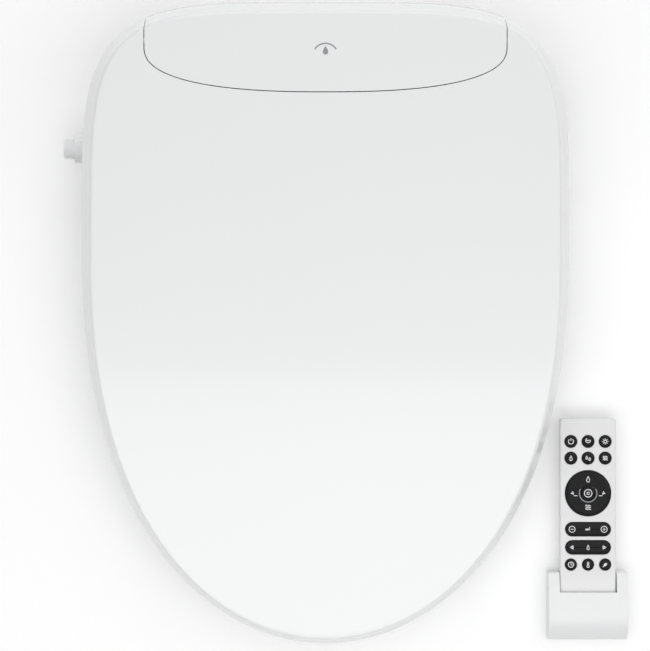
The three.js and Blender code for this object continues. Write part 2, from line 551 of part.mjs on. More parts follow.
// ---------------------------------------------------------------- wireless remote
function buildRemote() {
  const { x, top, width, length, back, split, face, corner, wall } = REMOTE;
  const middle = top - length / 2;
  const plan = skin => roundedRect(x, middle, width / 2 - skin, length / 2 - skin, corner - skin);
  const cell = [x, top - CELL.drop];
  const tub = cut(prism(plan(0), back, split), prism(plan(wall), back + wall, split + 1),
    rod('z', cell, CELL.cover + KEY.gap, back - 1, back + wall + 1, 28));
  add('remote_back', tub, MATERIAL.housing);
  const coinSlot = block([x - 7, cell[1] - 0.9, back - 1], [x + 7, cell[1] + 0.9, back + 0.7]);
  add('battery_cover', rod('z', cell, CELL.cover, back, back + wall - 0.4, 28).subtract(coinSlot),
    MATERIAL.housing);
  add('coin_cell', rod('z', cell, CELL.radius, back + wall + 0.4, back + wall + 3.6, 24),
    MATERIAL.steel);

  const rowY = drop => top - drop;
  const columns = [-1, 0, 1].map(step => x + step * KEY.pitch);
  const capsule = grow => roundedRect(x, 0, BAR.halfLength + grow, BAR.halfWidth + grow, BAR.halfWidth + grow);
  const bars = { minus_plus: KEY_ROWS.minus, arrows: KEY_ROWS.arrows };
  const moved = (outline, dy) => outline.map(([px, py]) => [px, py + dy]);
  const through = [split - 1, face + 1];
  const keys = { top: [KEY_ROWS.first, KEY.radius], upper: [KEY_ROWS.second, KEY.radius],
    bottom: [KEY_ROWS.last, KEY.lowRadius] };

  const openings = [rod('z', [x, rowY(KEY_ROWS.pad)], PAD.radius + KEY.gap, ...through, 32)];
  for (const drop of Object.values(bars)) {
    openings.push(prism(moved(capsule(KEY.gap), rowY(drop)), ...through));
  }
  for (const [row, [drop, radius]] of Object.entries(keys)) {
    columns.forEach((column, i) => {
      const place = ['left', 'middle', 'right'][i];
      openings.push(rod('z', [column, rowY(drop)], radius + KEY.gap, ...through, 16));
      const key = rod('z', [column, rowY(drop)], radius, KEY.foot, face + KEY.proud, 16);
      add(`key_${row}_${place}`, key, MATERIAL.key);
    });
  }
  const front = cut(prism(plan(0), split + GAP, face), ...openings);
  add('remote_front', front, MATERIAL.housing);

  const pad = [x, rowY(KEY_ROWS.pad)];
  add('nav_pivot', rod('z', pad, 12, split - 1.5, KEY.foot - 0.6, 20), MATERIAL.inner);
  add('nav_pad', cut(rod('z', pad, PAD.radius, KEY.foot + 0.6, face + KEY.proud, 32),
    rod('z', pad, PAD.hole, KEY.foot - 1, face + 2, 20)), MATERIAL.key);
  add('key_stop', rod('z', pad, PAD.stop, KEY.foot + 0.8, face + KEY.proud + 0.3, 20), MATERIAL.key);
  for (const [name, drop] of Object.entries(bars)) {
    add(`bar_${name}`, prism(moved(capsule(0), rowY(drop)), KEY.foot, face + KEY.proud), MATERIAL.key);
  }
}

buildLid();
buildSeat();
buildHousing();
buildFittings();
buildPlate();
buildNozzle();
buildInternals();
buildDock();
buildRemote();

export default group;
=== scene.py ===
"""Looks of the electric bidet seat: fine shells, keys, icons, materials, lights and camera."""
import json
import math

import bmesh
import bpy
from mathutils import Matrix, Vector


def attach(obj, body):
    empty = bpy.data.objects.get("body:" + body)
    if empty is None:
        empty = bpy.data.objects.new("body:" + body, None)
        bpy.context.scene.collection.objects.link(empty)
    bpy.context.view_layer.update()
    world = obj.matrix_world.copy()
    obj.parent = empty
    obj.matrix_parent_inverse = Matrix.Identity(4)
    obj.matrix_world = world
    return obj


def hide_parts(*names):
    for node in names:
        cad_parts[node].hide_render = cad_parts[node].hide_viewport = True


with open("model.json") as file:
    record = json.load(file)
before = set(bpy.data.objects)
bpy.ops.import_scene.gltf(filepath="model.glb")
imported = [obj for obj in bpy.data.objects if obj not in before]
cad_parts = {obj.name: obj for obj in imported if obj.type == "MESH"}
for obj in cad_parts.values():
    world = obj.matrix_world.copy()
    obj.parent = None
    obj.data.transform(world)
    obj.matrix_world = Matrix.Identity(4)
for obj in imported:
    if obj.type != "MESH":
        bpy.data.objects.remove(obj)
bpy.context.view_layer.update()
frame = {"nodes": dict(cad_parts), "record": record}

MM = 0.001
NODES = frame["nodes"]

# ------------------------------------------------------------------ driving dimensions, in mm
HALF_WIDTH, WIDEST_Y, FRONT, REAR = 196, -150, 319, 198
FRONT_POWER, REAR_POWER = 2.35, 4.5
DECK_Z, DECK_SLOPE = 86.3, 0.0963
RIM_DEPTH, RIM_DEPTH_SLOPE = 11, 0.037
DRAFT = math.tan(math.radians(20))
CROWN = 0.9
LID_WALL, TOP_ROUND, RIM_ROUND = 2.4, 3.0, 0.6
SEAM_HALF, SEAM_START, SEAM_DEPTH, SEAM_POWER, SEAM_GAP = 143.3, 9.7, 35.7, 2.5, 0.38
HINGE_Y, HINGE_Z = 15, 93
HINGE_BORE, KNUCKLE, ARM_INNER, ARM_OUTER = 2.95, 5, 146.8, 150.4
POINTS = 288


# ------------------------------------------------------------------ outlines and heights
def power(value, exponent):
    return math.copysign(abs(value) ** exponent, value)


def deck_z(y):
    return DECK_Z + DECK_SLOPE * (y - WIDEST_Y)


def rim_depth(y):
    return RIM_DEPTH + RIM_DEPTH_SLOPE * (y - WIDEST_Y + FRONT)


def rim_z(y):
    return deck_z(y) - rim_depth(y)


def superellipse(half_x, half_y, centre_y, exponent, count=POINTS):
    turns = [2 * math.pi * i / count for i in range(count)]
    return [
        (half_x * power(math.cos(a), 2 / exponent),
         centre_y + half_y * power(math.sin(a), 2 / exponent))
        for a in turns
    ]


def lid_outline():
    """The rim in plan: a blunt ellipse in front and a squarer superellipse behind."""
    points = []
    for i in range(POINTS):
        a = 2 * math.pi * i / POINTS
        c, s = math.cos(a), math.sin(a)
        if s < -1e-9:
            points.append((HALF_WIDTH * c, WIDEST_Y + FRONT * power(s, 2 / FRONT_POWER)))
        else:
            points.append((HALF_WIDTH * power(c, 2 / REAR_POWER),
                           WIDEST_Y + REAR * power(s, 2 / REAR_POWER)))
    return points


def inset(outline, distance):
    """Moves a closed outline inwards by a distance, or by a distance given for each y."""
    count = len(outline)
    moved = []
    for i, (x, y) in enumerate(outline):
        px, py = outline[i - 1]
        nx, ny = outline[(i + 1) % count]
        length = math.hypot(nx - px, ny - py)
        d = distance(y) if callable(distance) else distance
        moved.append((x - (ny - py) / length * d, y + (nx - px) / length * d))
    return moved


def seam_outline(offset):
    """The seam between lid and top cover, closed behind them both."""
    steps = 120
    front = []
    for i in range(steps + 1):
        a = math.pi * (1 + i / steps)
        front.append(((SEAM_HALF + offset) * power(math.cos(a), 2 / SEAM_POWER),
                      SEAM_START + (SEAM_DEPTH + offset) * power(math.sin(a), 2 / SEAM_POWER)))
    return front + [(SEAM_HALF + offset, 80), (-SEAM_HALF - offset, 80)]


def rounded_rect(x, y, half_x, half_y, radius, steps=10):
    points = []
    for quarter, (sx, sy) in enumerate([(1, 1), (-1, 1), (-1, -1), (1, -1)]):
        for i in range(steps + 1):
            a = (quarter + i / steps) * math.pi / 2
            points.append((x + sx * (half_x - radius) + radius * math.cos(a),
                           y + sy * (half_y - radius) + radius * math.sin(a)))
    return points


def circle(x, y, radius, count=64):
    return [(x + radius * math.cos(2 * math.pi * i / count),
             y + radius * math.sin(2 * math.pi * i / count)) for i in range(count)]


# ------------------------------------------------------------------ mesh making
def new_piece(name, points, faces, smooth=True):
    mesh = bpy.data.meshes.new(name)
    mesh.from_pydata([(x * MM, y * MM, z * MM) for x, y, z in points], [], faces)
    mesh.validate()
    work = bmesh.new()
    work.from_mesh(mesh)
    bmesh.ops.recalc_face_normals(work, faces=work.faces)
    work.to_mesh(mesh)
    work.free()
    piece = bpy.data.objects.new(name, mesh)
    bpy.context.scene.collection.objects.link(piece)
    for face in mesh.polygons:
        face.use_smooth = smooth
    return piece


def lift(outline, height):
    return [(x, y, height(y) if callable(height) else height) for x, y in outline]


def loft(name, rings, closed=False):
    """Skins stacked rings of points; the ends are capped, or joined when closed."""
    count = len(rings[0])
    points = [p for ring in rings for p in ring]
    faces = []
    for r in range(len(rings) if closed else len(rings) - 1):
        low, high = r * count, (r + 1) % len(rings) * count
        for i in range(count):
            j = (i + 1) % count
            faces.append((low + i, low + j, high + j, high + i))
    if not closed:
        top = (len(rings) - 1) * count
        faces.append(tuple(reversed(range(count))))
        faces.append(tuple(range(top, top + count)))
    return new_piece(name, points, faces)


def prism(name, outline, low, high):
    return loft(name, [lift(outline, low), lift(outline, high)])


def box(name, low, high):
    (x0, y0, z0), (x1, y1, z1) = low, high
    return prism(name, [(x0, y0), (x1, y0), (x1, y1), (x0, y1)], z0, z1)


def boolean(piece, tool, operation="DIFFERENCE"):
    change = piece.modifiers.new("cut", "BOOLEAN")
    change.object = tool
    change.operation = operation
    change.solver = "EXACT"
    bake(piece)
    bpy.data.objects.remove(tool)
    return piece


def bake(piece):
    """Turns a piece's modifiers into its mesh."""
    bpy.context.view_layer.update()
    seen = piece.evaluated_get(bpy.context.evaluated_depsgraph_get())
    mesh = bpy.data.meshes.new_from_object(seen)
    piece.modifiers.clear()
    piece.data = mesh


def soften(piece, width, segments=3, angle=35):
    """Rounds a piece's sharp edges by a width in mm and evens its shading."""
    edge = piece.modifiers.new("edges", "BEVEL")
    edge.width = width * MM
    edge.segments = segments
    edge.limit_method = "ANGLE"
    edge.angle_limit = math.radians(angle)
    edge.harden_normals = False
    edge.use_clamp_overlap = True
    for face in piece.data.polygons:
        face.use_smooth = True
    even = piece.modifiers.new("shading", "WEIGHTED_NORMAL")
    even.keep_sharp = True
    return piece


def crisp(piece, angle=35):
    """Keeps a piece's sharp edges sharp, with smooth shading between them."""
    piece.data.set_sharp_from_angle(angle=math.radians(angle))
    return piece


# ------------------------------------------------------------------ materials
def material(name, colour, roughness, coat=0.0, metallic=0.0, grain=0.0, grain_scale=900,
             tone=0.02, smudge=0.02, specular=0.5):
    """A moulded or machined surface: slow tone drift, smudged gloss and a fine grain."""
    made = bpy.data.materials.new(name)
    made.use_nodes = True
    nodes, links = made.node_tree.nodes, made.node_tree.links
    shader = nodes["Principled BSDF"]
    shader.inputs["Metallic"].default_value = metallic
    shader.inputs["Coat Weight"].default_value = coat
    shader.inputs["Coat Roughness"].default_value = 0.06
    shader.inputs["Specular IOR Level"].default_value = specular

    place = nodes.new("ShaderNodeTexCoord")
    drift = nodes.new("ShaderNodeTexNoise")
    drift.inputs["Scale"].default_value = 7
    drift.inputs["Detail"].default_value = 3
    tint = nodes.new("ShaderNodeMix")
    tint.data_type = "RGBA"
    tint.inputs["A"].default_value = (*[c * (1 - tone) for c in colour], 1)
    tint.inputs["B"].default_value = (*[min(1, c * (1 + tone)) for c in colour], 1)
    links.new(place.outputs["Object"], drift.inputs["Vector"])
    links.new(drift.outputs["Fac"], tint.inputs["Factor"])
    links.new(tint.outputs["Result"], shader.inputs["Base Color"])

    smear = nodes.new("ShaderNodeTexNoise")
    smear.inputs["Scale"].default_value = 38
    smear.inputs["Detail"].default_value = 2
    gloss = nodes.new("ShaderNodeMapRange")
    gloss.inputs["To Min"].default_value = max(0.02, roughness - smudge)
    gloss.inputs["To Max"].default_value = min(1, roughness + smudge)
    links.new(place.outputs["Object"], smear.inputs["Vector"])
    links.new(smear.outputs["Fac"], gloss.inputs["Value"])
    links.new(gloss.outputs["Result"], shader.inputs["Roughness"])

    if grain:
        fine = nodes.new("ShaderNodeTexNoise")
        fine.inputs["Scale"].default_value = grain_scale
        fine.inputs["Detail"].default_value = 2
        bump = nodes.new("ShaderNodeBump")
        bump.inputs["Strength"].default_value = grain
        bump.inputs["Distance"].default_value = 0.0002
        links.new(place.outputs["Object"], fine.inputs["Vector"])
        links.new(fine.outputs["Fac"], bump.inputs["Height"])
        links.new(bump.outputs["Normal"], shader.inputs["Normal"])
    return made


MATERIALS = {
    "lid_white": material("lid_white", (0.86, 0.865, 0.87), 0.2, coat=0.4, tone=0.008,
                          smudge=0.015),
    "seat_white": material("seat_white", (0.85, 0.855, 0.86), 0.26, coat=0.2, tone=0.01),
    "housing_white": material("housing_white", (0.83, 0.835, 0.84), 0.32, grain=0.12, tone=0.012),
    "remote_white": material("remote_white", (0.77, 0.77, 0.775), 0.36, grain=0.15, tone=0.012),
    "inner_plastic": material("inner_plastic", (0.7, 0.7, 0.71), 0.5, grain=0.3, tone=0.03),
    "dark_plastic": material("dark_plastic", (0.035, 0.037, 0.04), 0.45, grain=0.35, tone=0.1),
    "soft_rubber": material("soft_rubber", (0.55, 0.55, 0.56), 0.75, grain=0.5, grain_scale=500,
                            tone=0.05),
    "key_black": material("key_black", (0.006, 0.006, 0.007), 0.3, grain=0.12, tone=0.1,
                          specular=0.15),
    "steel": material("steel", (0.62, 0.63, 0.65), 0.32, metallic=1, grain=0.2, tone=0.05),
    "lens_smoke": material("lens_smoke", (0.02, 0.018, 0.02), 0.08, coat=0.5, tone=0.05),
    "board_green": material("board_green", (0.03, 0.16, 0.07), 0.45, grain=0.3, tone=0.12),
    "foil": material("foil", (0.75, 0.75, 0.75), 0.35, metallic=1, grain=0.5, tone=0.04),
    "icon_white": material("icon_white", (0.92, 0.92, 0.92), 0.5, tone=0.02),
    "mark_grey": material("mark_grey", (0.3, 0.31, 0.33), 0.4, tone=0.02),
}


def dress(piece, look):
    piece.data.materials.clear()
    piece.data.materials.append(MATERIALS[look])


def place(piece, body, look, replaced=()):
    """Gives a piece its material, its body and the CAD nodes it stands for."""
    dress(piece, look)
    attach(piece, body)
    if replaced:
        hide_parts(*replaced)
    return piece


# ------------------------------------------------------------------ camera
def make_camera():
    """Straight above the closed seat, the wall side at the top of the picture."""
    height, focus_plane = 1.9, 0.075
    camera = bpy.data.cameras.new("camera")
    camera.sensor_fit = "HORIZONTAL"
    camera.sensor_width = 36
    camera.lens = camera.sensor_width * height / 0.52
    camera.clip_end = 20
    seat_y = -0.2107
    holder = bpy.data.objects.new("camera", camera)
    holder.location = (-0.0004, seat_y, focus_plane + height)
    bpy.context.scene.collection.objects.link(holder)
    bpy.context.scene.camera = holder


# ------------------------------------------------------------------ lid and top cover
def deck_body(name, skin, bottom):
    """The body under the crowned deck with its drafted skirt; `skin` shrinks it all round.

    It ends at the rim, or goes straight on down to `bottom`.
    """
    outline = lid_outline()
    reach = WIDEST_Y - 10
    skirt_top = skin + TOP_ROUND

    def crowned(y, share):
        return deck_z(y) - CROWN * share ** 2

    def drafted(drop, ease):
        plan = inset(outline, lambda y: skin + ease + (rim_depth(y) - drop) * DRAFT)
        return [(x, y, deck_z(y) - drop - CROWN) for x, y in plan]

    def skirt(share):
        plan = inset(outline, lambda y: skin + share * (rim_depth(y) - skirt_top) * DRAFT)
        return [(x, y, rim_z(y) + share * (rim_depth(y) - skirt_top - CROWN)) for x, y in plan]

    rings = []
    for step in range(4):
        a = step / 3 * math.pi / 2
        plan = inset(outline, skin + RIM_ROUND * (1 - math.sin(a)))
        base = rim_z if bottom is None else lambda y: bottom
        rings.append([(x, y, base(y) + RIM_ROUND * (1 - math.cos(a))) for x, y in plan])
    rings += [skirt(share) for share in ((0.2, 0.6) if bottom is None else (0, 0.2, 0.6))]
    rings.append(drafted(skirt_top, 0))
    for step in range(1, 6):
        a = step / 6 * math.pi / 2
        sink = TOP_ROUND * (1 - math.sin(a))
        rings.append(drafted(skin + sink, TOP_ROUND * 0.62 * (1 - math.cos(a))))
    edge = [(x, y) for x, y, _ in drafted(skin, TOP_ROUND * 0.62)]
    for share in (1, 0.985, 0.95, 0.88, 0.78, 0.66, 0.52, 0.38, 0.24, 0.1):
        ring = []
        for x, y in edge:
            px, py = x * share, reach + (y - reach) * share
            ring.append((px, py, crowned(py, share) - skin))
        rings.append(ring)
    return loft(name, rings)


def make_lid():
    lid = deck_body("lid_fine", 0, None)
    boolean(lid, prism("seam", seam_outline(SEAM_GAP), -20, 160))
    hollow = deck_body("hollow", LID_WALL, -5)
    boolean(hollow, prism("seam", seam_outline(SEAM_GAP + LID_WALL), -30, 170))
    boolean(lid, hollow)
    for sign in (-1, 1):
        bore = loft("bore", [[(x, HINGE_Y + y, HINGE_Z + z) for y, z in circle(0, 0, HINGE_BORE, 32)]
                             for x in (sign * 140, sign * 150)])
        boolean(lid, bore)
    crisp(lid)
    place(lid, "lid", "lid_white", ["lid_shell"])


COVER_WALL, COVER_BOTTOM, STEP_Y, STEP_Z = 3, 56.35, -12.35, 64.35


def make_top_cover():
    cover = deck_body("top_cover_fine", 0, COVER_BOTTOM)
    boolean(cover, prism("seam", seam_outline(-SEAM_GAP), -20, 160), "INTERSECT")
    boolean(cover, box("step", (-200, STEP_Y, 0), (200, 90, STEP_Z)))
    hollow = deck_body("hollow", COVER_WALL, 20)
    boolean(hollow, prism("seam", seam_outline(-SEAM_GAP - COVER_WALL), -30, 170), "INTERSECT")
    boolean(cover, hollow)
    for sign in (-1, 1):
        bore = loft("bore", [[(x, HINGE_Y + y, HINGE_Z + z) for y, z in circle(0, 0, HINGE_BORE, 32)]
                             for x in (sign * 130, sign * 150)])
        boolean(cover, bore)
    crisp(cover)
    place(cover, "housing", "lid_white", ["top_cover"])


def make_drop_mark():
    """A plain water drop with a short arc over it, printed on the top cover."""
    drop_y, arc_y = 6.7, 2.0
    drop = []
    for i in range(48):
        a = 2 * math.pi * i / 48
        narrow = math.sin(a / 2) ** 1.6
        drop.append((3.1 * math.sin(a) * narrow, drop_y + 3.5 * math.cos(a)))
    arc = [(r * math.cos(math.radians(t)), arc_y + r * math.sin(math.radians(t)))
           for r, turns in ((10.5, range(32, 149, 4)), (9.4, range(148, 31, -4))) for t in turns]
    for name, outline in (("cover_mark_drop", drop), ("cover_mark_arc", arc)):
        points = [(x, y, deck_z(y) - CROWN * ((y + 160) / 198.5) ** 2 + h)
                  for h in (-0.2, 0.07) for x, y in outline]
        count = len(outline)
        faces = [tuple(reversed(range(count))), tuple(range(count, 2 * count))]
        faces += [(i, (i + 1) % count, count + (i + 1) % count, count + i) for i in range(count)]
        place(new_piece(name, points, faces, smooth=False), "housing", "mark_grey")


# ------------------------------------------------------------------ seat ring
OPENING = superellipse(108, 145, -240, 2.3)
SEAT_INSET, SEAT_BOTTOM, SEAT_WALL = 3, 12, 3
NOTCH_Y, NOTCH_Z, SIDE_END_Y = -106, 58.5, -14


def seat_ring(name, skin):
    """The ring with its crowned top; `skin` shrinks it on every side."""
    outline = lid_outline()
    outer = lambda d: inset(outline, SEAT_INSET + d + skin)
    inner = lambda d: inset(OPENING, -d - skin)
    a, b = outer(0), inner(0)
    between = lambda k: [(x + (u - x) * k, y + (v - y) * k) for (x, y), (u, v) in zip(a, b)]
    crown = lambda h: (lambda y: rim_z(y) + h - skin)
    floor = SEAT_BOTTOM + skin
    rings = [lift(outer(2.0), floor), lift(outer(0.6), floor + 1.2), lift(outer(0), floor + 3),
             lift(outer(0), crown(-2.4)), lift(outer(0.7), crown(-0.9)),
             lift(outer(2.2), crown(0.1)), lift(outer(5), crown(1.2)), lift(outer(9), crown(2)),
             lift(outer(15), crown(2.5)), lift(between(0.32), crown(2.6)),
             lift(between(0.5), crown(2.3)), lift(between(0.66), crown(1.2)),
             lift(inner(19), crown(-0.8)), lift(inner(11), crown(-3.1)),
             lift(inner(6), crown(-5.2)), lift(inner(2.6), crown(-7.8)),
             lift(inner(0.7), crown(-10.6)), lift(inner(0), crown(-13.5)),
             lift(inner(0), floor + 3), lift(inner(0.6), floor + 1.2), lift(inner(2), floor)]
    return loft(name, rings, closed=True)


def seat_notch(piece, grow):
    """Frees the space behind the ring that the housing and its cover fill."""
    boolean(piece, box("notch", (-230, NOTCH_Y - grow, -10), (230, 90, NOTCH_Z + grow)))
    boolean(piece, box("notch", (-230, SIDE_END_Y - grow, -10), (230, 90, 140)))
    boolean(piece, prism("notch", seam_outline(3.4 + grow), -20, 160))


def seat_shell(name):
    shell = seat_ring(name, 0)
    seat_notch(shell, 0)
    hollow = seat_ring("hollow", SEAT_WALL)
    seat_notch(hollow, SEAT_WALL)
    return boolean(shell, hollow)


def make_seat():
    step_y, split, rear_split = NOTCH_Y - SEAT_WALL - 1, 20, NOTCH_Z + SEAT_WALL + 0.5
    upper = seat_shell("seat_upper_fine")
    boolean(upper, box("low", (-230, -600, 0), (230, step_y, split + 0.35)))
    boolean(upper, box("low", (-230, step_y - 0.35, 0), (230, 90, rear_split + 0.35)))
    crisp(upper)
    place(upper, "seat", "seat_white")
    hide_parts("seat_upper")
    for sign in (-1, 1):
        side = "left" if sign < 0 else "right"
        knuckle = [(HINGE_Y + KNUCKLE * math.cos(t), HINGE_Z + KNUCKLE * math.sin(t))
                   for t in [math.pi * (i / 16 - 0.5) for i in range(17)]]
        profile = knuckle + [(-13, HINGE_Z + 2.8), (-34, rim_z(-34) + 14), (-40, rim_z(-40) - 2),
                             (-16, rim_z(-16) - 2), (-13, HINGE_Z - KNUCKLE)]
        arm = loft(f"seat_arm_{side}", [[(x, y, z) for y, z in profile]
                                        for x in (sign * ARM_INNER, sign * ARM_OUTER)])
        bore = loft("bore", [[(x, HINGE_Y + y, HINGE_Z + z) for y, z in circle(0, 0, HINGE_BORE, 32)]
                             for x in (sign * 140, sign * 156)])
        boolean(arm, bore)
        soften(arm, 0.4, 2, 40)
        place(arm, "seat", "seat_white")

    lower = seat_shell("seat_lower_fine")
    keep = box("keep", (-230, -600, 0), (230, step_y, split))
    rear = box("rear", (-230, step_y, 0), (230, 90, rear_split))
    boolean(keep, rear, "UNION")
    boolean(lower, keep, "INTERSECT")
    crisp(lower)
    place(lower, "seat", "seat_white")
    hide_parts("seat_lower")


# ------------------------------------------------------------------ remote control
REMOTE_X, REMOTE_TOP = 216, -287
REMOTE_WIDTH, REMOTE_LENGTH = 46, 168
BACK, SPLIT, FACE = 9, 15, 21
KEY_PITCH, KEY_TOP = 14.1, 22
KEY_FOOT, PAD_FOOT, STOP_FOOT = 17.2, 17.8, 18.05
REMOTE_CORNER = 2.4
ROWS = {"top": (19.1, 5.1), "upper": (32.8, 5.1), "bottom": (120.4, 4.8)}
PAD_DROP, MINUS_DROP, ARROWS_DROP = 61.7, 91.3, 106.2
PAD_RADIUS, PAD_WELL, STOP_RADIUS, STOP_HOLE = 18.8, 19.15, 5.5, 6
# a rocker bar and its well: half length, half width and corner radius
BAR, BAR_WELL = (18.6, 5.7, 5.69), (18.95, 6.05, 6.04)
DOOR_DROP, DOOR_RADIUS = 106, 13.3


def remote_plan(skin):
    middle = REMOTE_TOP - REMOTE_LENGTH / 2
    return rounded_rect(REMOTE_X, middle, REMOTE_WIDTH / 2 - skin, REMOTE_LENGTH / 2 - skin,
                        REMOTE_CORNER - skin)


def keycap(name, outline, foot, top, dish=0.35, radius=0.6):
    """A key with a rounded rim and a slightly dished top."""
    rings = [lift(outline, foot), lift(outline, top - radius)]
    for step in range(1, 5):
        a = step / 4 * math.pi / 2
        rings.append(lift(inset(outline, radius * (1 - math.cos(a))),
                          top - radius * (1 - math.sin(a))))
    rings += [lift(inset(outline, radius + d), top - dish * share)
              for d, share in ((0.4, 0.35), (0.9, 0.7), (1.5, 1), (2.0, 1))]
    return loft(name, rings)


def make_remote():
    back = loft("remote_back_fine", [
        lift(remote_plan(1.6), BACK), lift(remote_plan(0.6), BACK + 0.4),
        lift(remote_plan(0.15), BACK + 1), lift(remote_plan(0), BACK + 1.8),
        lift(remote_plan(0), SPLIT - 0.1)])
    boolean(back, prism("hollow", remote_plan(1.8), BACK + 1.7, SPLIT + 1))
    cell_y = REMOTE_TOP - DOOR_DROP
    boolean(back, prism("door", circle(REMOTE_X, cell_y, DOOR_RADIUS, 72), BACK - 1, BACK + 2))
    soften(back, 0.2, 2, 50)
    place(back, "remote", "remote_white")
    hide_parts("remote_back")

    front = loft("remote_front_fine", [
        lift(remote_plan(0.25), SPLIT + 0.35), lift(remote_plan(0), SPLIT + 0.7),
        lift(remote_plan(0), FACE - 1.5), lift(remote_plan(0.12), FACE - 0.8),
        lift(remote_plan(0.45), FACE - 0.3), lift(remote_plan(1.2), FACE)])
    wells = [circle(REMOTE_X, REMOTE_TOP - PAD_DROP, PAD_WELL, 96)]
    wells += [rounded_rect(REMOTE_X, REMOTE_TOP - drop, *BAR_WELL)
              for drop in (MINUS_DROP, ARROWS_DROP)]
    for drop, radius in ROWS.values():
        wells += [circle(REMOTE_X + k * KEY_PITCH, REMOTE_TOP - drop, radius + 0.3, 48)
                  for k in (-1, 0, 1)]
    for well in wells:
        boolean(front, prism("well", well, SPLIT - 1, FACE + 1))
    soften(front, 0.22, 2, 50)
    place(front, "remote", "remote_white")
    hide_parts("remote_front")


def make_keys():
    for row, (drop, radius) in ROWS.items():
        for step, side in ((-1, "left"), (0, "middle"), (1, "right")):
            node = f"key_{row}_{side}"
            outline = circle(REMOTE_X + step * KEY_PITCH, REMOTE_TOP - drop, radius, 56)
            place(keycap(node + "_fine", outline, KEY_FOOT, KEY_TOP), node, "key_black", [node])
    pad_y = REMOTE_TOP - PAD_DROP
    pad = keycap("nav_pad_fine", circle(REMOTE_X, pad_y, PAD_RADIUS, 128), PAD_FOOT, KEY_TOP,
                 0.5, 0.8)
    boolean(pad, prism("hole", circle(REMOTE_X, pad_y, STOP_HOLE, 64), 15, 25))
    soften(pad, 0.25, 2, 45)
    place(pad, "pad", "key_black", ["nav_pad"])
    stop = keycap("key_stop_fine", circle(REMOTE_X, pad_y, STOP_RADIUS, 56), STOP_FOOT,
                  KEY_TOP + 0.3)
    place(stop, "stop_key", "key_black", ["key_stop"])
    for name, drop in (("minus_plus", MINUS_DROP), ("arrows", ARROWS_DROP)):
        outline = rounded_rect(REMOTE_X, REMOTE_TOP - drop, *BAR)
        place(keycap(f"bar_{name}_fine", outline, KEY_FOOT, KEY_TOP, 0.3), f"rocker_{name}",
              "key_black", [f"bar_{name}"])


# ------------------------------------------------------------------ icons on the keys
def arc(radius, start, end, x=0.0, y=0.0, steps=24):
    turns = [math.radians(start + (end - start) * i / steps) for i in range(steps + 1)]
    return [(x + radius * math.cos(a), y + radius * math.sin(a)) for a in turns]


def wave(y, length=3.6, height=0.35):
    return [(length * (i / 16 - 0.5), y + height * math.sin(i / 16 * 4 * math.pi))
            for i in range(17)]


def drop_line(x=0.0, y=0.0, size=1.0):
    """A water drop's outline as one closed stroke."""
    line = []
    for i in range(33):
        a = 2 * math.pi * i / 32
        line.append((x + 1.25 * size * math.sin(a) * math.sin(a / 2) ** 1.5,
                     y + 1.75 * size * math.cos(a)))
    return line


def arrow(sign, size):
    corners = ((1.6, 0), (-1.1, 1.6), (-1.1, 0), (-1.1, -1.6), (1.6, 0))
    return [(sign * size * x, size * y) for x, y in corners]


def spray(sign):
    """A jet rising from a low nozzle and bending to one side."""
    return [[(sign * -2.2, -1.6), (sign * 0.2, -1.6)]] + [
        [(sign * (0.2 + 0.5 * k), -0.9 + 0.3 * k), (sign * (0.9 + 0.6 * k), 0.6 + 0.7 * (1 - k))]
        for k in (0, 1, 2)]


ICONS = {
    "power": [arc(2.0, 125, 415), [(0, 0.6), (0, 2.5)]],
    "lid": [arc(2.1, 200, 340, 0, 1.2), [(-2.1, 0.9), (2.1, 0.9)], [(-2.1, 1.0), (-0.9, 2.4)]],
    "lamp": [arc(1.1, 0, 360)] + [[(1.7 * math.cos(a), 1.7 * math.sin(a)),
                                   (2.4 * math.cos(a), 2.4 * math.sin(a))]
                                  for a in [math.pi * k / 4 for k in range(8)]],
    "drop": [drop_line(0, 0, 1.1)],
    "two_drops": [drop_line(-1.1, 0.5, 0.75), drop_line(1.2, -0.5, 0.75)],
    "waves": [wave(-1.2), wave(0), wave(1.2)],
    "clock": [arc(2.1, 0, 360), [(0, 1.3), (0, 0), (1.0, -0.6)]],
    "heat": [arc(0.9, 120, 420, 0, -1.3), [(-0.45, -0.5), (-0.45, 2.1)],
             [(0.45, -0.5), (0.45, 2.1)]],
    "leaf": [arc(2.6, 100, 170, 1.4, -1.4), arc(2.6, 280, 350, -1.3, 1.4),
             [(-1.9, -2.0), (0.6, 0.6)]],
    "square": [[(-0.9, -0.9), (0.9, -0.9), (0.9, 0.9), (-0.9, 0.9), (-0.9, -0.9)]],
    "minus": [[(-1.2, 0), (1.2, 0)], arc(2.5, 0, 360)],
    "plus": [[(-1.2, 0), (1.2, 0)], [(0, -1.2), (0, 1.2)], arc(2.5, 0, 360)],
    "arrow_left": [arrow(-1, 1), arrow(-1, 0.5)],
    "arrow_right": [arrow(1, 1), arrow(1, 0.5)],
    "spray_left": spray(-1), "spray_right": spray(1),
    "nozzle": [[(-2.2, -0.5), (1.0, -0.5), (1.8, 0.2), (-2.2, 0.2), (-2.2, -0.5)],
               [(1.2, 0.9), (1.2, 1.8)]],
}


